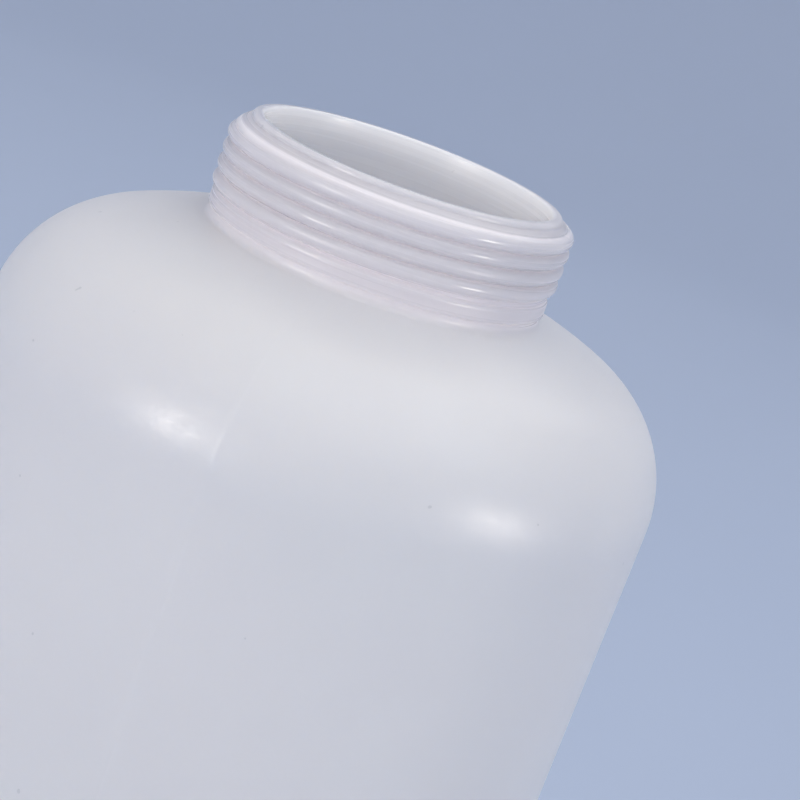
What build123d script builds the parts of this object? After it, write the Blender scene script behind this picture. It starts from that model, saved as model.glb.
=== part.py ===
"""Two-litre wide-mouth reagent bottle in polyethylene, with its screw closure.

Millimetres, +Z up. The origin is the centre of the bottle's foot, on the bench.
The bottle stands open. Its closure (screw cap, foam liner and push-in plug) lies
on its side on the bench at +X, as it is put down while the bottle is in use.
"""

import os
from math import acos, cos, degrees, radians, sin

from build123d import *

os.makedirs("parts", exist_ok=True)

# ---- bottle body ----------------------------------------------------------
HEIGHT = 230.0  # foot to rim
BODY_RADIUS = 60.5
WALL = 1.6
HEEL_RADIUS = 7.0
FOOT_INNER_RADIUS = 45.0
PUSH_UP_RADIUS = 38.0
PUSH_UP = 3.0
SCAR_LENGTH = 62.0  # seam left where the mould pinched the tube shut
SCAR_WIDTH = 1.4
SCAR_HEIGHT = 0.8

# shoulder: a flat dome round the neck, then a tighter arc down into the side wall
DOME_RADIUS = 88.0
SHOULDER_ANGLE = 22.5  # slope where the dome meets the shoulder's arc
SHOULDER_RADIUS = 23.0

# ---- neck, with every level measured down from the rim -----------------------
MOUTH_RADIUS = 26.0
LIP_RADIUS = 27.9
LIP_INNER_ROUND = 0.5
LIP_OUTER_ROUND = 0.8
COLLAR_TOP = 1.0
COLLAR_BOTTOM = 2.5
ROOT_RADIUS = 29.8
BAND_TOP = 13.9
BAND_RADIUS = 30.4
BAND_BOTTOM = 17.0
NECK_RADIUS = 29.9  # plain neck under the band
NECK_HEIGHT = 18.9  # rim to the dome
NECK_FILLET = 1.2
THROAT_ROUND = 3.0

# ---- thread: single start, right hand, rounded ridges with narrow grooves ------
THREAD_RADIUS = 31.0
RIDGE_ROUND = 1.36  # a ridge is half a round bar, its flat side sunk in the neck
PITCH = 2.78
THREAD_TURNS = 3.75
THREAD_FOOT = 13.16  # lowest turn, below the rim
THREAD_ANGLE = 150.0  # where that turn begins, round the axis from the frame's x

# ---- push-in plug -------------------------------------------------------------
SEAT_GAP = 0.1
FLANGE_RADIUS = 30.0
FLANGE = 1.5
PLUG_RADIUS = 25.85  # under the flange
PLUG_TIP_RADIUS = 25.2
PLUG_DEPTH = 7.0
PLUG_WALL = 1.3
PLUG_FLOOR = 1.5
FLANGE_ROUND = 0.4
LUG_LENGTH = 16.0  # upright finger grip across the plug's recess
LUG_THICKNESS = 2.0
LUG_HEIGHT = 6.2
LUG_ROUND = 3.0

# ---- liner --------------------------------------------------------------------
LINER_RADIUS = 31.0
LINER = 1.2

# ---- screw cap ------------------------------------------------------------------
CAP_RADIUS = 35.0  # over the grip ribs
BARREL_RADIUS = 34.2
CAP_BORE_RADIUS = 31.6
CAP_TOP = 2.05
CAP_HEIGHT = 20.0
CAP_EDGE_ROUND = 1.6
LEAD_IN = 0.6
RIB_COUNT = 60
RIB_ROUND = 0.9
RIB_END = 1.2  # plain band below the ribs
CAP_RIDGE_RADIUS = 30.6
CAP_RIDGE_ROOT = 32.0  # inside the skirt's wall
CAP_RIDGE_TURNS = 3.0
CAP_RIDGE_BASE = 2.4
CAP_RIDGE_TIP = 0.24
CAP_TURNS = 5  # whole turns from the first thread to tight

# ---- the closure's way from the bench to the mouth -----------------------------------
# Three quarters of a turn about a pivot level with the closure's centre of mass, so that
# it hangs straight below the pivot on the bench and comes down upright on the mouth.
PIVOT_ABOVE_RIM = 12.0
PIVOT_X = HEIGHT + PIVOT_ABOVE_RIM - CAP_RADIUS

# ---- levels in the closure's frame: z = 0 is the rim when the closure is on the mouth -----
FLANGE_TOP = SEAT_GAP + FLANGE
LINER_BOTTOM = FLANGE_TOP + SEAT_GAP
CEILING = LINER_BOTTOM + LINER + SEAT_GAP / 2
CROWN = CEILING + CAP_TOP
SKIRT_END = CROWN - CAP_HEIGHT
ADVANCE = CAP_TURNS * PITCH

NECK = Plane((0, 0, HEIGHT))
# on the bench the closure's axis is level, one cap radius up, with its crown to the bottle
PLUG_FRAME = Plane((PIVOT_X + PIVOT_ABOVE_RIM, 0, CAP_RADIUS), x_dir=(0, 0, 1), z_dir=(-1, 0, 0))
CAP_FRAME = PLUG_FRAME.offset(ADVANCE)


def profile_plane(frame):
    """The plane of a turned profile: x is the radius, y is the height along the axis."""
    return Plane(frame.origin, x_dir=frame.x_dir, z_dir=-frame.y_dir)


def axis_of(frame):
    return Axis(frame.origin, frame.z_dir)


def corner_at(x, y):
    """The corner of the sketch being made that is nearest to a point."""
    return vertices().sort_by_distance((x, y))[0]


def thread_ridge(turns, path_radius, outline):
    """A helical ridge that starts on +X at z = 0, from an outline in radius and height."""
    with BuildPart() as ridge:
        with BuildLine() as path:
            Helix(pitch=PITCH, height=turns * PITCH, radius=path_radius)
        with BuildSketch(Plane.XZ):
            with BuildLine():
                outline()
            make_face()
        sweep(path=path.line, is_frenet=True)
    return ridge.part


def put_ridge(ridge, frame, level):
    """The ridge at a level of a frame, turned to the angle where the threads begin."""
    return ridge.moved(frame.offset(level).location * Rotation(0, 0, THREAD_ANGLE))


def bottle_ridge_outline():
    flat = THREAD_RADIUS - RIDGE_ROUND
    ThreePointArc((flat, -RIDGE_ROUND), (THREAD_RADIUS, 0), (flat, RIDGE_ROUND))
    Line((flat, RIDGE_ROUND), (flat, -RIDGE_ROUND))


def cap_ridge_outline():
    base, tip = CAP_RIDGE_BASE / 2, CAP_RIDGE_TIP / 2
    Polyline(
        (CAP_RIDGE_RADIUS, -tip),
        (CAP_RIDGE_RADIUS, tip),
        (CAP_RIDGE_ROOT, base),
        (CAP_RIDGE_ROOT, -base),
        close=True,
    )


# ---- bottle: one blow-moulded piece, body, neck and thread ---------------------------------
slope = radians(SHOULDER_ANGLE)
arc_x = BODY_RADIUS - SHOULDER_RADIUS
dome_x = arc_x - (DOME_RADIUS - SHOULDER_RADIUS) * sin(slope)
dome_end = acos((NECK_RADIUS - dome_x) / DOME_RADIUS)  # angle of the dome's edge at the neck
dome_y = -NECK_HEIGHT - DOME_RADIUS * sin(dome_end)
arc_y = dome_y + (DOME_RADIUS - SHOULDER_RADIUS) * cos(slope)
inner_arc = SHOULDER_RADIUS - WALL
inner_dome = DOME_RADIUS - WALL
throat_end = acos((MOUTH_RADIUS - dome_x) / inner_dome)
throat_y = dome_y + inner_dome * sin(throat_end)
heel = (BODY_RADIUS - HEEL_RADIUS, HEEL_RADIUS - HEIGHT)

bottle_thread = thread_ridge(THREAD_TURNS, ROOT_RADIUS, bottle_ridge_outline)

with BuildPart() as bottle:
    with BuildSketch(profile_plane(NECK)):
        with BuildLine():
            Polyline(
                (MOUTH_RADIUS, throat_y),
                (MOUTH_RADIUS, 0),
                (LIP_RADIUS, 0),
                (LIP_RADIUS, -COLLAR_TOP),
                (ROOT_RADIUS, -COLLAR_BOTTOM),
                (ROOT_RADIUS, -BAND_TOP),
                (BAND_RADIUS, -BAND_TOP - (BAND_RADIUS - ROOT_RADIUS)),
                (BAND_RADIUS, -BAND_BOTTOM),
                (NECK_RADIUS, -BAND_BOTTOM - (BAND_RADIUS - NECK_RADIUS)),
                (NECK_RADIUS, -NECK_HEIGHT),
            )
            CenterArc(
                (dome_x, dome_y),
                DOME_RADIUS,
                90 - SHOULDER_ANGLE,
                degrees(dome_end) - 90 + SHOULDER_ANGLE,
            )
            CenterArc((arc_x, arc_y), SHOULDER_RADIUS, 0, 90 - SHOULDER_ANGLE)
            Line((BODY_RADIUS, arc_y), (BODY_RADIUS, heel[1]))
            CenterArc(heel, HEEL_RADIUS, -90, 90)
            Polyline(
                (heel[0], -HEIGHT),
                (FOOT_INNER_RADIUS, -HEIGHT),
                (PUSH_UP_RADIUS, PUSH_UP - HEIGHT),
                (0, PUSH_UP - HEIGHT),
                (0, PUSH_UP + WALL - HEIGHT),
                (PUSH_UP_RADIUS, PUSH_UP + WALL - HEIGHT),
                (FOOT_INNER_RADIUS, WALL - HEIGHT),
                (heel[0], WALL - HEIGHT),
            )
            CenterArc(heel, HEEL_RADIUS - WALL, -90, 90)
            Line((BODY_RADIUS - WALL, heel[1]), (BODY_RADIUS - WALL, arc_y))
            CenterArc((arc_x, arc_y), inner_arc, 0, 90 - SHOULDER_ANGLE)
            CenterArc(
                (dome_x, dome_y),
                inner_dome,
                90 - SHOULDER_ANGLE,
                degrees(throat_end) - 90 + SHOULDER_ANGLE,
            )
        make_face()
        fillet(corner_at(MOUTH_RADIUS, 0), LIP_INNER_ROUND)
        fillet(corner_at(LIP_RADIUS, 0), LIP_OUTER_ROUND)
        fillet(corner_at(NECK_RADIUS, -NECK_HEIGHT), NECK_FILLET)
        fillet(corner_at(MOUTH_RADIUS, throat_y), THROAT_ROUND)
    revolve(axis=axis_of(NECK))
    add(put_ridge(bottle_thread, NECK, -THREAD_FOOT))
    with Locations((0, 0, PUSH_UP)):
        Box(SCAR_WIDTH, SCAR_LENGTH, 2 * SCAR_HEIGHT)
bottle.part.label = "bottle"
export_step(bottle.part, "parts/bottle.step")


# ---- inner plug: flange on the lip, tapered skirt in the mouth, finger lug ---------------------
with BuildPart() as inner_plug:
    with BuildSketch(profile_plane(PLUG_FRAME)):
        with BuildLine():
            Polyline(
                (0, -PLUG_DEPTH),
                (PLUG_TIP_RADIUS, -PLUG_DEPTH),
                (PLUG_RADIUS, SEAT_GAP),
                (FLANGE_RADIUS, SEAT_GAP),
                (FLANGE_RADIUS, FLANGE_TOP),
                (PLUG_RADIUS - PLUG_WALL, FLANGE_TOP),
                (PLUG_TIP_RADIUS - PLUG_WALL, PLUG_FLOOR - PLUG_DEPTH),
                (0, PLUG_FLOOR - PLUG_DEPTH),
                close=True,
            )
        make_face()
        fillet(corner_at(FLANGE_RADIUS, FLANGE_TOP), FLANGE_ROUND)
        fillet(corner_at(PLUG_TIP_RADIUS, -PLUG_DEPTH), FLANGE_ROUND)
    revolve(axis=axis_of(PLUG_FRAME))
    with BuildSketch(profile_plane(PLUG_FRAME)):
        with Locations((0, PLUG_FLOOR - PLUG_DEPTH)):
            Rectangle(LUG_LENGTH, LUG_HEIGHT, align=(Align.CENTER, Align.MIN))
        for side in (-1, 1):
            lug_top = PLUG_FLOOR - PLUG_DEPTH + LUG_HEIGHT
            fillet(corner_at(side * LUG_LENGTH / 2, lug_top), LUG_ROUND)
    extrude(amount=LUG_THICKNESS / 2, both=True)
inner_plug.part.label = "inner_plug"
export_step(inner_plug.part, "parts/inner_plug.step")


# ---- liner: foam disc under the cap's ceiling ----------------------------------------------------
with BuildPart() as liner:
    with BuildSketch(CAP_FRAME.offset(LINER_BOTTOM)):
        Circle(LINER_RADIUS)
    extrude(amount=LINER)
liner.part.label = "liner"
export_step(liner.part, "parts/liner.step")


# ---- cap: ribbed skirt, inner thread half a pitch above the bottle's when tight ---------------------
cap_thread = thread_ridge(CAP_RIDGE_TURNS, CAP_BORE_RADIUS, cap_ridge_outline)
rib_length = CAP_HEIGHT - CAP_EDGE_ROUND - RIB_END

with BuildPart() as cap:
    with BuildSketch(profile_plane(CAP_FRAME)):
        with BuildLine():
            Polyline(
                (0, CEILING),
                (CAP_BORE_RADIUS, CEILING),
                (CAP_BORE_RADIUS, SKIRT_END + LEAD_IN),
                (CAP_BORE_RADIUS + LEAD_IN, SKIRT_END),
                (BARREL_RADIUS, SKIRT_END),
                (BARREL_RADIUS, CROWN),
                (0, CROWN),
                close=True,
            )
        make_face()
        fillet(corner_at(BARREL_RADIUS, CROWN), CAP_EDGE_ROUND)
    revolve(axis=axis_of(CAP_FRAME))
    with BuildSketch(CAP_FRAME.offset(SKIRT_END + RIB_END)):
        with PolarLocations(CAP_RADIUS - RIB_ROUND, RIB_COUNT):
            Circle(RIB_ROUND)
    extrude(amount=rib_length)
    add(put_ridge(cap_thread, CAP_FRAME, PITCH / 2 - THREAD_FOOT))
cap.part.label = "cap"
export_step(cap.part, "parts/cap.step")
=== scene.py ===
"""Looks of the wide-mouth reagent bottle and its closure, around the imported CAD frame.

Blender works in metres. The object's and the stage's sizes are written in millimetres and
multiplied by MM; the places and sizes of lights and camera are in metres and degrees.
Turned pieces are lathed by formula: a profile of (radius, height) points, swept round an
axis, with small reliefs (thread, grip ribs, parting lines) added to the radius as functions
of angle and height. Grain, streaks and ripples are in the materials.
"""

import math

import bmesh
import bpy
from mathutils import Matrix, Vector


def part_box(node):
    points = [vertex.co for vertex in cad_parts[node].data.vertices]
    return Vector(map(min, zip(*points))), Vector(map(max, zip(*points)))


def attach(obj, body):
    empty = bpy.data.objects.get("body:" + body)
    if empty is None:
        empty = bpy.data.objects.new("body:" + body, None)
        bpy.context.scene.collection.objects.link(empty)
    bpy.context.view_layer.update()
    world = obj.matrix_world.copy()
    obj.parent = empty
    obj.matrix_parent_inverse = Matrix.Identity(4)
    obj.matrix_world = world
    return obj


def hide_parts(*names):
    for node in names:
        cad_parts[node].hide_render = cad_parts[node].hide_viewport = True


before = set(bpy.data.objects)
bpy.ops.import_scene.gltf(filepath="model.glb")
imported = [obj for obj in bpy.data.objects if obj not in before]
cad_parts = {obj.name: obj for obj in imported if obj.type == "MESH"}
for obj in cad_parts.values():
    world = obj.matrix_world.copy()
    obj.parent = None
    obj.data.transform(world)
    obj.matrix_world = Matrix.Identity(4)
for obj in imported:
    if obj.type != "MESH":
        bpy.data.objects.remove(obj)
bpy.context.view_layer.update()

MM = 0.001
TAU = 2 * math.pi

# ---- sizes from the frame ----------------------------------------------------------------------
bottle_low, bottle_high = (Vector(c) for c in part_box("bottle"))
plug_low, plug_high = (Vector(c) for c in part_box("inner_plug"))
liner_low, liner_high = (Vector(c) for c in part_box("liner"))
cap_low, cap_high = (Vector(c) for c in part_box("cap"))

HEIGHT = (bottle_high.z - bottle_low.z) / MM
BODY_RADIUS = (bottle_high.y - bottle_low.y) / 2 / MM

# ---- bottle, in millimetres, with the neck's levels measured down from the rim -----------------
WALL = 1.6
DOME_RADIUS = 88.0
SHOULDER_ANGLE = math.radians(22.5)
SHOULDER_RADIUS = 23.0
HEEL_RADIUS = 7.0
FOOT_INNER_RADIUS = 45.0
PUSH_UP_RADIUS = 38.0
PUSH_UP = 3.0
SEAM_LENGTH = 62.0
SEAM_WIDTH = 1.4
SEAM_HEIGHT = 0.8
MOUTH_RADIUS = 26.0
LIP_RADIUS = 27.9
LIP_INNER_ROUND = 0.5
LIP_OUTER_ROUND = 0.8
COLLAR_TOP = 1.0
COLLAR_BOTTOM = 2.9
COLLAR_BULGE = 0.3
COLLAR_STAND = 0.35  # of the collar's lower edge, out of the thread's root
ROOT_RADIUS = 29.8
BAND_TOP = 13.9
BAND_RADIUS = 30.4
BAND_BOTTOM = 17.0
BAND_EDGE = 0.3
NECK_RADIUS = 29.9
NECK_HEIGHT = 18.9
NECK_FILLET = 1.2
THROAT_ROUND = 3.0

THREAD_RADIUS = 31.0
RIDGE_HALF_WIDTH = 1.38
RIDGE_FULLNESS = 0.62  # 1 is a parabola in section, 0.5 half an ellipse
GROOVE_RADIUS = 29.8  # bottom of the filleted groove between two turns
GROOVE_FILLET = 0.2
PITCH = 2.78
THREAD_TURNS = 3.75
THREAD_FOOT = 13.16
THREAD_ANGLE = math.radians(150)
THREAD_RUN_IN = 0.14  # of a turn, over which a ridge rises at its lower end
THREAD_RUN_OUT = 0.2  # and runs out at its upper end

# ---- closure, in millimetres -------------------------------------------------------------------
FLANGE_RADIUS = 30.0
FLANGE = 1.5
PLUG_RADIUS = 25.85
PLUG_TIP_RADIUS = 25.2
PLUG_WALL = 1.3
PLUG_FLOOR = 1.5
LUG_LENGTH = 16.0
LUG_THICKNESS = 2.0
LUG_HEIGHT = 6.2
LUG_ROUND = 3.0

CAP_RADIUS = 35.0
BARREL_RADIUS = 34.2
CAP_BORE_RADIUS = 31.6
CAP_TOP = 2.05
CAP_HEIGHT = 20.0
RIB_COUNT = 60
RIB_ROUND = 0.9
CAP_RIDGE_RADIUS = 30.6
CAP_RIDGE_TURNS = 3.0
CAP_RIDGE_LEVEL = 3.23  # where the ridge starts, above the skirt's end


# ---- profile helpers ---------------------------------------------------------------------------
def arc(centre, radius, start, end, steps):
    """Points on an arc, angles in degrees from the radius direction towards the height."""
    points = []
    for i in range(steps + 1):
        a = math.radians(start + (end - start) * i / steps)
        points.append((centre[0] + radius * math.cos(a), centre[1] + radius * math.sin(a)))
    return points


def line(start, end, steps):
    """Points along a straight stretch, without its last point."""
    return [
        (start[0] + (end[0] - start[0]) * i / steps, start[1] + (end[1] - start[1]) * i / steps)
        for i in range(steps)
    ]


def smooth(x):
    """A step from 0 to 1 with soft ends."""
    x = min(1.0, max(0.0, x))
    return x * x * (3 - 2 * x)


def angles_round(count, close_ups=()):
    """Evenly spaced angles, with extra ones around the places that need fine detail."""
    found = {round(TAU * i / count, 6) for i in range(count)}
    for centre, offsets in close_ups:
        for offset in offsets:
            found.add(round((centre + offset) % TAU, 6))
    return sorted(found)


def lathe(profile, angles, relief=None):
    """A closed turned shell as (points, faces). The profile runs from axis to axis, and
    relief(radius, height, angle) gives the radius that replaces the profile's own."""
    points, faces, rows = [], [], []
    for radius, height in profile:
        if radius < 1e-6:
            rows.append([len(points)])
            points.append((0.0, 0.0, height))
            continue
        row = []
        for angle in angles:
            r = relief(radius, height, angle) if relief else radius
            row.append(len(points))
            points.append((r * math.cos(angle), r * math.sin(angle), height))
        rows.append(row)
    count = len(angles)
    for low, high in zip(rows, rows[1:]):
        for i in range(count):
            j = (i + 1) % count
            if len(low) == 1:
                faces.append((low[0], high[j], high[i]))
            elif len(high) == 1:
                faces.append((low[i], low[j], high[0]))
            else:
                faces.append((low[i], low[j], high[j], high[i]))
    return points, faces


def add_object(name, points, faces, material):
    """A smooth-shaded mesh object with one material, from points in metres."""
    mesh = bpy.data.meshes.new(name)
    mesh.from_pydata(points, [], faces)
    mesh.polygons.foreach_set("use_smooth", [True] * len(mesh.polygons))
    mesh.materials.append(material)
    made = bpy.data.objects.new(name, mesh)
    bpy.context.scene.collection.objects.link(made)
    return made


def make_piece(name, shells, material, place=Matrix.Identity(4)):
    """One object from closed shells in millimetres, set in place, normals outward."""
    points, faces = [], []
    for shell_points, shell_faces in shells:
        first = len(points)
        points += [place @ (Vector(p) * MM) for p in shell_points]
        faces += [tuple(first + i for i in face) for face in shell_faces]
    piece = add_object(name, points, faces, material)
    work = bmesh.new()
    work.from_mesh(piece.data)
    bmesh.ops.recalc_face_normals(work, faces=work.faces)
    work.to_mesh(piece.data)
    work.free()
    return piece


def rounded_max(a, b, rounding):
    """The larger of two, with the corner between them rounded off."""
    share = min(1.0, max(0.0, 0.5 + 0.5 * (a - b) / rounding))
    return b + (a - b) * share + rounding * share * (1 - share)


def helix_offset(height, angle, foot, start_angle, turns):
    """Distance in height to the nearest turn of a helical ridge, and how full it is there."""
    best, fullness = 1e9, 0.0
    lap = ((angle - start_angle) % TAU) / TAU
    for turn in range(int(turns) + 1):
        along = turn + lap
        if along > turns:
            break
        gap = abs(height - (foot + along * PITCH))
        if gap < best:
            best = gap
            fullness = smooth(along / THREAD_RUN_IN) * smooth((turns - along) / THREAD_RUN_OUT)
    return best, fullness


# ---- materials: noise scales in cycles per metre, bump depths in metres ------------------------
MILKY_DEPTH = 8.0 * MM  # how far milky polyethylene lets light in
MILKY_REACH = (1.0, 0.95, 0.9)  # the same by colour, red the furthest
# the dark end of the plastic's tone: partly reached by its specks, mostly by the painted shade on the
# neck
PLASTIC_DARK_AND_NECK_SHADE = (0.50, 0.495, 0.525, 1)
CLEAR_PLASTIC = (0.99, 0.943, 0.967, 1)
BODY_ROUGHNESS = 0.36
NECK_PAINTED_SHADE = 2.3  # how much darker the outer neck is painted, in steps of the body's own variation: painted shade that evens out the extra light the thick neck passes on
GROOVE_PAINTED_LIGHT = 0.6  # how much of that painted shade is left off in the grooves of the thread: painted light in the grooves
CLOUD_SCALE = 18.0
SPECK_SCALE = 600.0
SPECK_LEVELS = (0.885, 0.90)  # a speck shows where its noise rises through these
SPECK_DARKNESS = 0.9
STREAK_STRETCH = (9, 9, 1300)  # long round the neck, fine along its height
STREAK_DEPTH = 0.014 * MM
GRAIN_SCALE = 1500.0
GRAIN_DEPTH = 0.010 * MM
RIPPLE_SCALE = 55.0
RIPPLE_DEPTH = 0.25 * MM
CAP_DARK = (0.80, 0.80, 0.80, 1)
CAP_LIGHT = (0.86, 0.86, 0.855, 1)
PLUG_DARK = (0.78, 0.77, 0.765, 1)
PLUG_LIGHT = (0.83, 0.82, 0.815, 1)
ORANGE_PEEL_SCALE = 500.0
ORANGE_PEEL_DEPTH = 0.006 * MM
FOAM_CELL_SCALE = 2200.0
FOAM_CELL_DEPTH = 0.12 * MM
# the foam's colour at the bottom of each pit: painted shade
FOAM_PIT_SHADE = (0.80, 0.80, 0.77, 1)
FOAM_LIGHT = (0.90, 0.90, 0.87, 1)
STAGE_DARK = (0.45, 0.53, 0.68, 1)
STAGE_LIGHT = (0.47, 0.55, 0.70, 1)


def new_material(name, roughness, **sockets):
    """A Principled material; keyword sockets use the shader's names with spaces as underscores."""
    material = bpy.data.materials.new(name)
    material.use_nodes = True
    shader = material.node_tree.nodes["Principled BSDF"]
    shader.inputs["Roughness"].default_value = roughness
    for socket, value in sockets.items():
        shader.inputs[socket.replace("_", " ")].default_value = value
    return material, shader


def add_node(material, kind, **inputs):
    node = material.node_tree.nodes.new(kind)
    for socket, value in inputs.items():
        target = node.inputs[socket.replace("_", " ")]
        if isinstance(value, bpy.types.NodeSocket):
            material.node_tree.links.new(value, target)
        else:
            target.default_value = value
    return node


def link(material, output, target):
    material.node_tree.links.new(output, target)


def object_point(material, scale=(1, 1, 1)):
    """Object coordinates in metres, scaled along X, Y and Z."""
    coordinates = add_node(material, "ShaderNodeTexCoord")
    mapping = add_node(material, "ShaderNodeMapping", Vector=coordinates.outputs["Object"])
    mapping.inputs["Scale"].default_value = scale
    return mapping.outputs["Vector"]


def noise(material, scale, detail=3.0, stretch=(1, 1, 1)):
    """Noise from 0 to 1; scale is in cycles per metre."""
    point = object_point(material, stretch)
    return add_node(
        material, "ShaderNodeTexNoise", Vector=point, Scale=scale, Detail=detail
    ).outputs["Fac"]


def spread(material, value, low, high, from_low=0.0, from_high=1.0):
    """A value stretched from one range to another."""
    node = add_node(material, "ShaderNodeMapRange", Value=value)
    node.inputs["From Min"].default_value = from_low
    node.inputs["From Max"].default_value = from_high
    node.inputs["To Min"].default_value = low
    node.inputs["To Max"].default_value = high
    return node.outputs["Result"]


def combine(material, operation, first, second):
    """A Math node on two values or numbers."""
    node = add_node(material, "ShaderNodeMath")
    node.operation = operation
    for socket, value in zip(node.inputs, (first, second)):
        if isinstance(value, bpy.types.NodeSocket):
            link(material, value, socket)
        else:
            socket.default_value = value
    return node.outputs["Value"]


def bump(material, height, depth, below=None):
    """A bump of a depth in metres, on top of an earlier one."""
    node = add_node(material, "ShaderNodeBump", Height=height, Distance=depth)
    if below is not None:
        link(material, below, node.inputs["Normal"])
    return node.outputs["Normal"]


def tinted(material, amount, dark, light):
    """A colour between two, by an amount from 0 to 1."""
    ramp = add_node(material, "ShaderNodeValToRGB", Fac=amount)
    ramp.color_ramp.elements[0].color = dark
    ramp.color_ramp.elements[1].color = light
    return ramp.outputs["Color"]


def bottle_plastic():
    """Natural polyethylene: satin body with a fine grain, glossier neck with turned streaks."""
    material, shader = new_material(
        "natural_polyethylene",
        BODY_ROUGHNESS,
        Subsurface_Weight=1.0,
        Subsurface_Scale=MILKY_DEPTH,
        IOR=1.52,
    )
    shader.inputs["Subsurface Radius"].default_value = MILKY_REACH
    point = object_point(material)
    place = add_node(material, "ShaderNodeSeparateXYZ", Vector=point).outputs
    height = place["Z"]
    radius_squared = combine(
        material,
        "ADD",
        combine(material, "MULTIPLY", place["X"], place["X"]),
        combine(material, "MULTIPLY", place["Y"], place["Y"]),
    )
    radius = combine(material, "SQRT", radius_squared, 0.0)
    neck_foot = (HEIGHT - NECK_HEIGHT) * MM
    on_neck = spread(material, height, 0.0, 1.0, neck_foot, neck_foot + 2 * MM)

    # tone: clouds and specks, then painted shade on the outer neck, less of it in the thread's grooves as
    # painted light there, and painted light on the neck's inside
    cloud = noise(material, CLOUD_SCALE, 2.0)
    speck = spread(material, noise(material, SPECK_SCALE, 0.0), 0.0, 1.0, *SPECK_LEVELS)
    speck_tone = combine(material, "MULTIPLY", speck, SPECK_DARKNESS)
    tone = combine(material, "SUBTRACT", cloud, speck_tone)
    outside = spread(material, radius, 0.0, 1.0, (MOUTH_RADIUS + 0.1) * MM, (MOUTH_RADIUS + 0.7) * MM)
    # painted light in the grooves of the thread: they keep only part of the neck's painted shade, while
    # the collar keeps all of it
    crest = spread(
        material, radius, 1 - GROOVE_PAINTED_LIGHT, 1.0, (ROOT_RADIUS - 0.05) * MM, (ROOT_RADIUS + 0.8) * MM
    )
    on_collar = spread(material, radius, 1.0, 0.0, (ROOT_RADIUS - 0.6) * MM, (ROOT_RADIUS - 0.2) * MM)
    crest = combine(material, "MAXIMUM", crest, on_collar)
    outer_neck = combine(material, "MULTIPLY", on_neck, outside)
    # painted shade on the outer neck, in full on the crests and the collar
    neck_shade_amount = combine(material, "MULTIPLY", outer_neck, crest)
    # painted light on the neck's inside: its tone is raised to the lightest plastic
    inner_neck_painted_light = combine(material, "SUBTRACT", on_neck, outer_neck)
    tone = combine(material, "SUBTRACT", tone, combine(material, "MULTIPLY", neck_shade_amount, NECK_PAINTED_SHADE))
    tone = combine(material, "ADD", tone, inner_neck_painted_light)
    tone = spread(material, tone, 0.0, 1.0, -NECK_PAINTED_SHADE, 1.0)
    colour = tinted(material, tone, PLASTIC_DARK_AND_NECK_SHADE, CLEAR_PLASTIC)
    link(material, colour, shader.inputs["Base Color"])

    # roughness: satin on the body, glossier in streaks on the neck
    streaks = noise(material, 1.0, 0.0, STREAK_STRETCH)
    off_neck = spread(material, height, 1.0, 0.0, neck_foot - 2 * MM, neck_foot)
    satin = spread(material, noise(material, 900.0, 2.0), -0.06, 0.06, 0.3, 0.7)
    body_rough = combine(
        material, "ADD", combine(material, "MULTIPLY", satin, off_neck), BODY_ROUGHNESS
    )
    glossier = spread(material, streaks, 0.02, 0.15, 0.4, 0.65)
    neck_rough = combine(material, "MULTIPLY", on_neck, glossier)
    link(
        material,
        combine(material, "SUBTRACT", body_rough, neck_rough),
        shader.inputs["Roughness"],
    )

    # bumps: grain off the neck, slow ripples all over, streaks on the neck
    grain = combine(material, "MULTIPLY", noise(material, GRAIN_SCALE, 1.0), off_neck)
    waves = noise(material, RIPPLE_SCALE, 0.0)
    ripple = bump(material, waves, RIPPLE_DEPTH, bump(material, grain, GRAIN_DEPTH))
    turned = combine(material, "MULTIPLY", streaks, outer_neck)
    link(material, bump(material, turned, STREAK_DEPTH, ripple), shader.inputs["Normal"])
    return material


def closure_plastic(name, dark, light, roughness, milky):
    """Moulded closure plastic with a faint orange-peel and light handling wear."""
    material, shader = new_material(
        name, roughness, Subsurface_Weight=milky, Subsurface_Scale=MILKY_DEPTH / 4, IOR=1.5
    )
    shader.inputs["Subsurface Radius"].default_value = MILKY_REACH
    link(material, tinted(material, noise(material, 40.0, 2.0), dark, light), shader.inputs["Base Color"])
    worn = spread(material, noise(material, 200.0, 2.0), roughness - 0.02, roughness + 0.03, 0.3, 0.7)
    link(material, worn, shader.inputs["Roughness"])
    peel = noise(material, ORANGE_PEEL_SCALE, 1.0)
    link(material, bump(material, peel, ORANGE_PEEL_DEPTH), shader.inputs["Normal"])
    return material


def foam():
    """Closed-cell foam: fine cells that show as pits, each painted darker towards its middle: painted
    shade in the pits.
    """
    material, shader = new_material("liner_foam", 0.7, Subsurface_Weight=0.3, Subsurface_Scale=MM)
    cells = add_node(
        material, "ShaderNodeTexVoronoi", Vector=object_point(material), Scale=FOAM_CELL_SCALE
    ).outputs["Distance"]
    link(
        material,
        tinted(material, cells, FOAM_PIT_SHADE, FOAM_LIGHT),
        shader.inputs["Base Color"],
    )
    link(material, bump(material, cells, FOAM_CELL_DEPTH), shader.inputs["Normal"])
    return material


def stage_paper():
    """Matt paper with a faint mottle."""
    material, shader = new_material("stage_paper", 0.9)
    mottle = noise(material, 3.0, 2.0)
    link(
        material,
        tinted(material, mottle, STAGE_DARK, STAGE_LIGHT),
        shader.inputs["Base Color"],
    )
    return material


# ---- bottle ------------------------------------------------------------------------------------
PARTING_HALF_WIDTH = 0.3
PARTING_HEIGHT = 0.06
PARTING_ANGLES = (math.radians(90), math.radians(270))


def round_into_dome(wall_radius, rounding, dome_centre, dome_radius):
    """The small arc between an upright wall and the dome that it stands on: its centre, and
    the angle, round the dome's centre, where it leaves the dome."""
    aside = wall_radius + rounding - dome_centre[0]
    rise = math.sqrt((dome_radius + rounding) ** 2 - aside**2)
    return (wall_radius + rounding, dome_centre[1] + rise), math.degrees(math.atan2(rise, aside))


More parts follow.
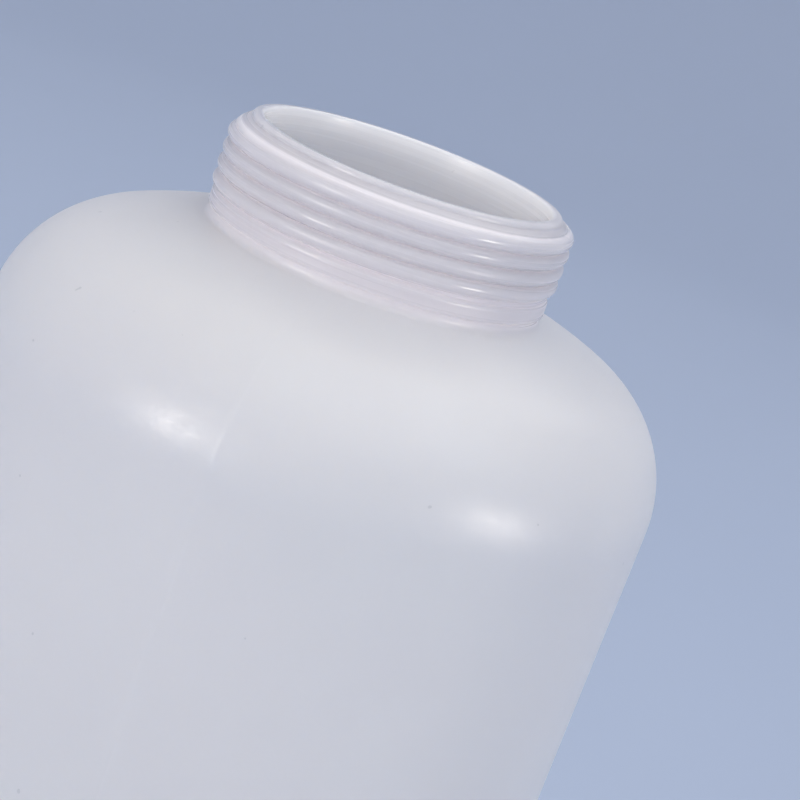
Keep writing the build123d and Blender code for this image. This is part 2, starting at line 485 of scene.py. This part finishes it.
def bottle_profile():
    """From the axis inside, up the inner wall, over the lip, down the outside and under the foot."""
    rim = HEIGHT
    slope = math.degrees(SHOULDER_ANGLE)
    sin_s, cos_s = math.sin(SHOULDER_ANGLE), math.cos(SHOULDER_ANGLE)
    arc_x = BODY_RADIUS - SHOULDER_RADIUS
    dome_x = arc_x - (DOME_RADIUS - SHOULDER_RADIUS) * sin_s
    dome_end = math.acos((NECK_RADIUS - dome_x) / DOME_RADIUS)
    dome_z = rim - NECK_HEIGHT - DOME_RADIUS * math.sin(dome_end)
    arc_z = dome_z + (DOME_RADIUS - SHOULDER_RADIUS) * cos_s
    inner_arc = SHOULDER_RADIUS - WALL
    inner_dome = DOME_RADIUS - WALL
    heel = (BODY_RADIUS - HEEL_RADIUS, HEEL_RADIUS)

    inside = [(0.0, PUSH_UP + WALL)]
    inside += line((8.0, PUSH_UP + WALL), (PUSH_UP_RADIUS, PUSH_UP + WALL), 3)
    inside += line((PUSH_UP_RADIUS, PUSH_UP + WALL), (FOOT_INNER_RADIUS, WALL), 4)
    inside += line((FOOT_INNER_RADIUS, WALL), (heel[0], WALL), 2)
    inside += arc(heel, HEEL_RADIUS - WALL, -90, 0, 7)
    inside += line((BODY_RADIUS - WALL, heel[1] + 6), (BODY_RADIUS - WALL, arc_z), 6)
    inside += arc((arc_x, arc_z), inner_arc, 0, 90 - slope, 10)
    throat, dome_angle = round_into_dome(MOUTH_RADIUS, THROAT_ROUND, (dome_x, dome_z), inner_dome)
    inside += arc((dome_x, dome_z), inner_dome, 90 - slope, dome_angle, 8)[1:]
    inside += arc(throat, THROAT_ROUND, dome_angle + 180, 180, 6)[1:]
    inside += line((MOUTH_RADIUS, throat[1] + 0.6), (MOUTH_RADIUS, rim - 0.7), 5)

    inner, outer = LIP_INNER_ROUND, LIP_OUTER_ROUND
    lip = arc((MOUTH_RADIUS + inner, rim - inner), inner, 180, 90, 4)
    lip += arc((LIP_RADIUS - outer, rim - outer), outer, 90, 0, 6)

    outside = [(LIP_RADIUS, rim - outer - 0.05)]
    collar_foot = (ROOT_RADIUS + COLLAR_STAND, rim - COLLAR_BOTTOM)
    collar = line((LIP_RADIUS, rim - COLLAR_TOP), collar_foot, 14)
    outside += [
        (r + COLLAR_BULGE * math.sin(math.pi * i / len(collar)), z) for i, (r, z) in enumerate(collar)
    ]
    outside += [collar_foot]
    outside += line((ROOT_RADIUS, collar_foot[1] - 0.1), (ROOT_RADIUS, rim - BAND_TOP), 128)
    outside += line((ROOT_RADIUS, rim - BAND_TOP), (BAND_RADIUS - 0.15, rim - BAND_TOP - 0.45), 5)
    band_foot = rim - BAND_BOTTOM + BAND_EDGE
    outside += line((BAND_RADIUS, rim - BAND_TOP - 0.8), (BAND_RADIUS, band_foot), 5)
    outside += arc((BAND_RADIUS - BAND_EDGE, band_foot), BAND_EDGE, 0, -70, 5)
    foot, dome_angle = round_into_dome(NECK_RADIUS, NECK_FILLET, (dome_x, dome_z), DOME_RADIUS)
    outside += line((NECK_RADIUS, rim - BAND_BOTTOM - 0.3), (NECK_RADIUS, foot[1]), 5)
    outside += arc(foot, NECK_FILLET, 180, dome_angle + 180, 9)
    outside += arc((dome_x, dome_z), DOME_RADIUS, dome_angle, 90 - slope, 12)[1:-1]
    outside += arc((arc_x, arc_z), SHOULDER_RADIUS, 90 - slope, 0, 20)
    outside += line((BODY_RADIUS, arc_z - 2), (BODY_RADIUS, heel[1] + 2), 10)
    outside += arc(heel, HEEL_RADIUS, 0, -90, 8)
    outside += line((heel[0] - 2, 0.0), (FOOT_INNER_RADIUS, 0.0), 2)
    outside += line((FOOT_INNER_RADIUS, 0.0), (PUSH_UP_RADIUS, PUSH_UP), 5)
    outside += line((PUSH_UP_RADIUS, PUSH_UP), (8.0, PUSH_UP), 4)
    outside += [(0.0, PUSH_UP)]
    return inside + lip + outside, len(inside) + len(lip)


def foot_seam():
    """The pinched seam under the foot: a low rounded rib in the parting plane."""
    across, along = 8, 24
    points, faces = [], []
    for i in range(along + 1):
        y = SEAM_LENGTH * (i / along - 0.5)
        run_out = math.sqrt(max(0.02, 1 - (2 * y / SEAM_LENGTH) ** 8))
        for k in range(across):
            a = TAU * k / across
            points.append(
                (
                    SEAM_WIDTH / 2 * run_out * math.cos(a),
                    y,
                    PUSH_UP + SEAM_HEIGHT * run_out * math.sin(a),
                )
            )
    for i in range(along):
        for k in range(across):
            n = (k + 1) % across
            faces.append(
                (i * across + k, i * across + n, (i + 1) * across + n, (i + 1) * across + k)
            )
    faces.append(tuple(range(across)))
    faces.append(tuple(along * across + k for k in range(across)))
    return points, faces


def bottle_piece():
    """The bottle: inner and outer wall as one turned shell, and the seam under the foot."""
    profile, first_outside = bottle_profile()
    outer_rows = {round(h, 5): r for r, h in profile[first_outside:]}
    close = [-2.4, -1.2, -0.6, -PARTING_HALF_WIDTH, 0, PARTING_HALF_WIDTH, 0.6, 1.2, 2.4]
    close_ups = [(a, [c / BODY_RADIUS for c in close]) for a in PARTING_ANGLES]
    angles = angles_round(288, close_ups)
    thread_foot = HEIGHT - THREAD_FOOT

    def relief(radius, height, angle):
        """The thread on the neck, and the two parting lines on the body."""
        if outer_rows.get(round(height, 5)) != radius or radius < ROOT_RADIUS - 2:
            return radius
        if height > HEIGHT - COLLAR_TOP - 0.01:
            return radius
        gap, fullness = helix_offset(height, angle, thread_foot, THREAD_ANGLE, THREAD_TURNS)
        if gap < RIDGE_HALF_WIDTH:
            crown = (1 - (gap / RIDGE_HALF_WIDTH) ** 2) ** RIDGE_FULLNESS
            ridge = ROOT_RADIUS + (THREAD_RADIUS - ROOT_RADIUS) * crown
            ridge = rounded_max(ridge, GROOVE_RADIUS, GROOVE_FILLET)
            return radius + max(0.0, ridge - radius) * fullness
        if height < HEIGHT - NECK_HEIGHT:
            away = min(abs((angle - a + math.pi) % TAU - math.pi) for a in PARTING_ANGLES)
            seam = 1 - smooth(away * BODY_RADIUS / (2 * PARTING_HALF_WIDTH))
            return radius + PARTING_HEIGHT * seam
        return radius

    shells = [lathe(profile, angles, relief), foot_seam()]
    return make_piece("reagent_bottle", shells, bottle_plastic())


# ---- closure, each piece made upright in its own frame and laid on its side --------------------
def laid_down(end_x, centre_z):
    """From a frame whose +Z is the closure's axis, with 0 at its lower end, to the bench:
    +Z goes to -X, +X goes up, and the lower end is at end_x."""
    turn = Matrix(((0, 0, -1), (0, 1, 0), (1, 0, 0))).to_4x4()
    return Matrix.Translation((end_x, 0, centre_z)) @ turn


def cap_piece():
    """The screw cap: ribbed barrel, dished crown and threaded bore."""
    skirt_round = 0.5
    skirt_lead_in = 0.6
    crown_round = 1.6
    ceiling_round = 0.6
    top = CAP_HEIGHT
    ceiling = top - CAP_TOP
    dish = 0.35  # the crown's middle is sunk a little inside a raised border
    border = BARREL_RADIUS - 4.0
    gate_radius = 2.2  # of the moulding gate's dimple in the middle
    profile = [(0.0, ceiling)]
    profile += line((6.0, ceiling), (CAP_BORE_RADIUS - 1, ceiling), 4)
    profile += arc(
        (CAP_BORE_RADIUS - ceiling_round, ceiling - ceiling_round), ceiling_round, 90, 0, 3
    )
    profile += line((CAP_BORE_RADIUS, ceiling - 0.8), (CAP_BORE_RADIUS, skirt_lead_in), 72)
    profile += [(CAP_BORE_RADIUS, skirt_lead_in), (CAP_BORE_RADIUS + 0.45, 0.15)]
    profile += arc((BARREL_RADIUS - 0.9, 0.45), 0.45, 270, 290, 1)
    profile += arc((BARREL_RADIUS - skirt_round, skirt_round), skirt_round, 290, 360, 5)
    profile += line((BARREL_RADIUS, skirt_round + 0.1), (BARREL_RADIUS, 2.4), 8)
    profile += line((BARREL_RADIUS, 2.4), (BARREL_RADIUS, top - 3.4), 12)
    profile += line((BARREL_RADIUS, top - 3.4), (BARREL_RADIUS, top - crown_round), 6)
    profile += arc((BARREL_RADIUS - crown_round, top - crown_round), crown_round, 0, 90, 9)
    profile += line((BARREL_RADIUS - 2.2, top), (border, top), 3)
    profile += line((border, top), (border - 0.6, top - dish), 4)
    profile += line((border - 0.6, top - dish), (gate_radius, top - dish), 6)
    profile += [(2.0, top - dish), (1.6, top - dish - 0.25), (0.0, top - dish - 0.3)]

    def relief(radius, height, angle):
        """The inner thread on the bore, and the grip ribs on the barrel."""
        if abs(radius - CAP_BORE_RADIUS) < 0.02:
            gap, fullness = helix_offset(
                height, angle, CAP_RIDGE_LEVEL, THREAD_ANGLE, CAP_RIDGE_TURNS
            )
            slope_in = smooth((0.85 - gap) / 0.75)
            return radius - (CAP_BORE_RADIUS - CAP_RIDGE_RADIUS) * slope_in * fullness
        if radius < BARREL_RADIUS - crown_round or height < 0.9:
            return radius
        pitch_angle = TAU / RIB_COUNT
        away = (angle + pitch_angle / 2) % pitch_angle - pitch_angle / 2
        side = (CAP_RADIUS - RIB_ROUND) * math.sin(away)
        if abs(side) >= RIB_ROUND:
            return radius
        rib = (CAP_RADIUS - RIB_ROUND) * math.cos(away) + math.sqrt(RIB_ROUND**2 - side**2)
        stand = max(0.0, rib - BARREL_RADIUS)
        run_out = smooth((height - 0.9) / 0.9) * smooth((top - 0.5 - height) / 1.6)
        return radius + stand * run_out

    shells = [lathe(profile, angles_round(RIB_COUNT * 10), relief)]
    material = closure_plastic("moulded_polypropylene", CAP_DARK, CAP_LIGHT, 0.33, 0.15)
    place = laid_down(cap_high.x, (cap_low.z + cap_high.z) / 2)
    return make_piece("screw_cap", shells, material, place)


def plug_lug():
    """The upright finger grip: a plate with rounded shoulders and softened edges."""
    foot = PLUG_FLOOR - 0.4
    top = PLUG_FLOOR + LUG_HEIGHT
    half = LUG_LENGTH / 2
    outline = [(-half, foot), (half, foot)]
    outline += arc((half - LUG_ROUND, top - LUG_ROUND), LUG_ROUND, 0, 90, 8)
    outline += arc((LUG_ROUND - half, top - LUG_ROUND), LUG_ROUND, 90, 180, 8)
    soft = 0.35
    middle = (0.0, (foot + top) / 2)

    def drawn_in(point, by):
        across = point[0] - math.copysign(min(by, abs(point[0])), point[0])
        up = point[1] - by if point[1] > middle[1] else point[1]
        return across, up

    levels = [
        (-LUG_THICKNESS / 2, soft),
        (-LUG_THICKNESS / 2 + soft * 0.3, soft * 0.3),
        (-LUG_THICKNESS / 2 + soft, 0.0),
        (LUG_THICKNESS / 2 - soft, 0.0),
        (LUG_THICKNESS / 2 - soft * 0.3, soft * 0.3),
        (LUG_THICKNESS / 2, soft),
    ]
    points, faces = [], []
    for y, by in levels:
        points += [(x, y, z) for x, z in (drawn_in(p, by) for p in outline)]
    count = len(outline)
    for level in range(len(levels) - 1):
        for i in range(count):
            j = (i + 1) % count
            first = level * count
            faces.append((first + i, first + j, first + count + j, first + count + i))
    faces.append(tuple(range(count)))
    faces.append(tuple((len(levels) - 1) * count + i for i in range(count)))
    return points, faces


def plug_piece():
    """The push-in plug: a shallow cup with a flange, and the finger grip across it."""
    depth = (plug_high.x - plug_low.x) / MM
    flange_low = depth - FLANGE
    edge = 0.4
    inner_top = PLUG_RADIUS - PLUG_WALL
    inner_low = PLUG_TIP_RADIUS - PLUG_WALL
    profile = [(0.0, 0.0)]
    profile += line((6.0, 0.0), (PLUG_TIP_RADIUS - edge, 0.0), 4)
    profile += arc((PLUG_TIP_RADIUS - edge, edge), edge, 270, 355, 4)
    profile += line((PLUG_TIP_RADIUS + 0.02, edge + 0.2), (PLUG_RADIUS, flange_low - 0.3), 8)
    profile += [(PLUG_RADIUS, flange_low - 0.3), (PLUG_RADIUS + 0.1, flange_low - 0.08)]
    profile += line((PLUG_RADIUS + 0.3, flange_low), (FLANGE_RADIUS - edge, flange_low), 4)
    profile += arc((FLANGE_RADIUS - edge, flange_low + edge), edge, 270, 360, 4)
    profile += arc((FLANGE_RADIUS - edge, depth - edge), edge, 0, 90, 4)
    profile += line((FLANGE_RADIUS - 1, depth), (inner_top + edge, depth), 4)
    profile += arc((inner_top + edge, depth - edge), edge, 90, 175, 4)
    profile += line((inner_top, depth - 0.6), (inner_low, PLUG_FLOOR + 0.8), 7)
    profile += arc((inner_low - 0.7, PLUG_FLOOR + 0.7), 0.7, 0, -90, 4)
    profile += line((inner_low - 1.2, PLUG_FLOOR), (3.0, PLUG_FLOOR), 6)
    profile += [(0.0, PLUG_FLOOR)]
    shells = [lathe(profile, angles_round(192)), plug_lug()]
    material = closure_plastic("plug_polyethylene", PLUG_DARK, PLUG_LIGHT, 0.30, 0.5)
    place = laid_down(plug_high.x, (plug_low.z + plug_high.z) / 2)
    return make_piece("push_in_plug", shells, material, place)


def liner_piece():
    """The foam disc, with softened edges."""
    thick = (liner_high.x - liner_low.x) / MM
    radius = (liner_high.y - liner_low.y) / 2 / MM
    edge = 0.3
    profile = [(0.0, 0.0)]
    profile += line((8.0, 0.0), (radius - edge, 0.0), 6)
    profile += arc((radius - edge, edge), edge, 270, 360, 3)
    profile += arc((radius - edge, thick - edge), edge, 0, 90, 3)
    profile += line((radius - edge - 0.5, thick), (8.0, thick), 6)
    profile += [(0.0, thick)]
    place = laid_down(liner_high.x, (liner_low.z + liner_high.z) / 2)
    return make_piece("foam_liner", [lathe(profile, angles_round(128))], foam(), place)


# each piece stands for a CAD node and rides on the body of the same name
for piece, node, slot in (
    (bottle_piece(), "bottle", "bottle_plastic"),
    (plug_piece(), "inner_plug", "plug_plastic"),
    (liner_piece(), "liner", "liner_foam"),
    (cap_piece(), "cap", "cap_plastic"),
):
    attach(piece, node)
    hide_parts(node)


# ---- stage, light and camera -------------------------------------------------------------------
SHOULDER_BELOW_RIM = 40 * MM
rim = Vector((0, 0, bottle_high.z))
shoulder = rim - Vector((0, 0, SHOULDER_BELOW_RIM))

# the camera is above the mouth and close, looking down past it, rolled so that the bottle leans
CAMERA_AZIMUTH = 12.0
CAMERA_ELEVATION = 9.06  # of the camera, seen from the mouth
CAMERA_DISTANCE = 0.3859
CAMERA_ROLL = 20.25
CAMERA_LENS = 101.5
AIM_BELOW_RIM = 0.0400
AIM_ASIDE = 0.0124

KEY_FAN = 60
WORLD_COLOUR = (1.0, 0.935, 0.885, 1)
WORLD_STRENGTH = 0.75


def stage_piece():
    """A seamless paper bowl: flat round the object, curving up to a wall behind every view."""
    flat, curve, wall = 1500.0, 1100.0, 2600.0
    profile = [(0.0, 0.0), (300.0, 0.0), (900.0, 0.0)]
    profile += arc((flat, curve), curve, -90, 0, 24)
    profile += [(flat + curve, wall)]
    points, faces = lathe(profile, angles_round(96))
    add_object("stage", [Vector(p) * MM for p in points], faces, stage_paper())


def towards(azimuth, elevation, distance, centre):
    """A point seen from a centre; azimuth 0 is towards -Y and turns towards +X."""
    a, e = math.radians(azimuth), math.radians(elevation)
    way = Vector((math.sin(a) * math.cos(e), -math.cos(a) * math.cos(e), math.sin(e)))
    return centre + way * distance


def soft_light(name, azimuth, elevation, distance, size, power, colour, fan=180):
    """A rectangular lamp that faces the shoulder, with its azimuth from the camera's side.
    Its light is kept within the fan, in degrees."""
    lamp = bpy.data.lights.new(name, "AREA")
    lamp.spread = math.radians(fan)
    lamp.shape = "RECTANGLE"
    lamp.size, lamp.size_y = size
    lamp.energy = power
    lamp.color = colour
    light = bpy.data.objects.new(name, lamp)
    light.location = towards(CAMERA_AZIMUTH + azimuth, elevation, distance, shoulder)
    light.rotation_euler = (shoulder - light.location).to_track_quat("-Z", "Y").to_euler()
    light.visible_camera = False
    bpy.context.scene.collection.objects.link(light)


stage_piece()

# name, azimuth, elevation, distance, size, power in watts, colour
soft_light("key_left", -41, 4, 1.1, (0.30, 0.22), 0.455, (1, 0.93, 0.84), KEY_FAN)
soft_light("key_right", 64, 4, 1.1, (0.26, 0.22), 0.36, (1, 0.92, 0.82), KEY_FAN)
soft_light("front_fill", -30, 28, 1.9, (2.6, 2.0), 9, (1, 0.925, 0.855))
soft_light("overhead", 50, 68, 1.7, (1.8, 1.8), 10, (0.81, 0.895, 1))
soft_light("back_glow", 165, 52, 1.9, (1.6, 1.2), 5.5, (1, 0.995, 1))

world = bpy.data.worlds.new("studio")
world.use_nodes = True
background = world.node_tree.nodes["Background"]
background.inputs["Color"].default_value = WORLD_COLOUR
background.inputs["Strength"].default_value = WORLD_STRENGTH
bpy.context.scene.world = world
bpy.context.scene.view_settings.view_transform = "Standard"

camera = bpy.data.objects.new("camera", bpy.data.cameras.new("camera"))
camera.data.sensor_width = 36
camera.data.lens = CAMERA_LENS
camera.location = towards(CAMERA_AZIMUTH, CAMERA_ELEVATION, CAMERA_DISTANCE, rim)
view_side = math.radians(CAMERA_AZIMUTH)
aim = rim + Vector((math.cos(view_side), math.sin(view_side), 0)) * AIM_ASIDE
aim.z -= AIM_BELOW_RIM
look = (aim - camera.location).to_track_quat("-Z", "Y").to_matrix().to_4x4()
roll = Matrix.Rotation(math.radians(CAMERA_ROLL), 4, "Z")
camera.matrix_world = Matrix.Translation(camera.location) @ look @ roll
bpy.context.scene.collection.objects.link(camera)
bpy.context.scene.camera = camera
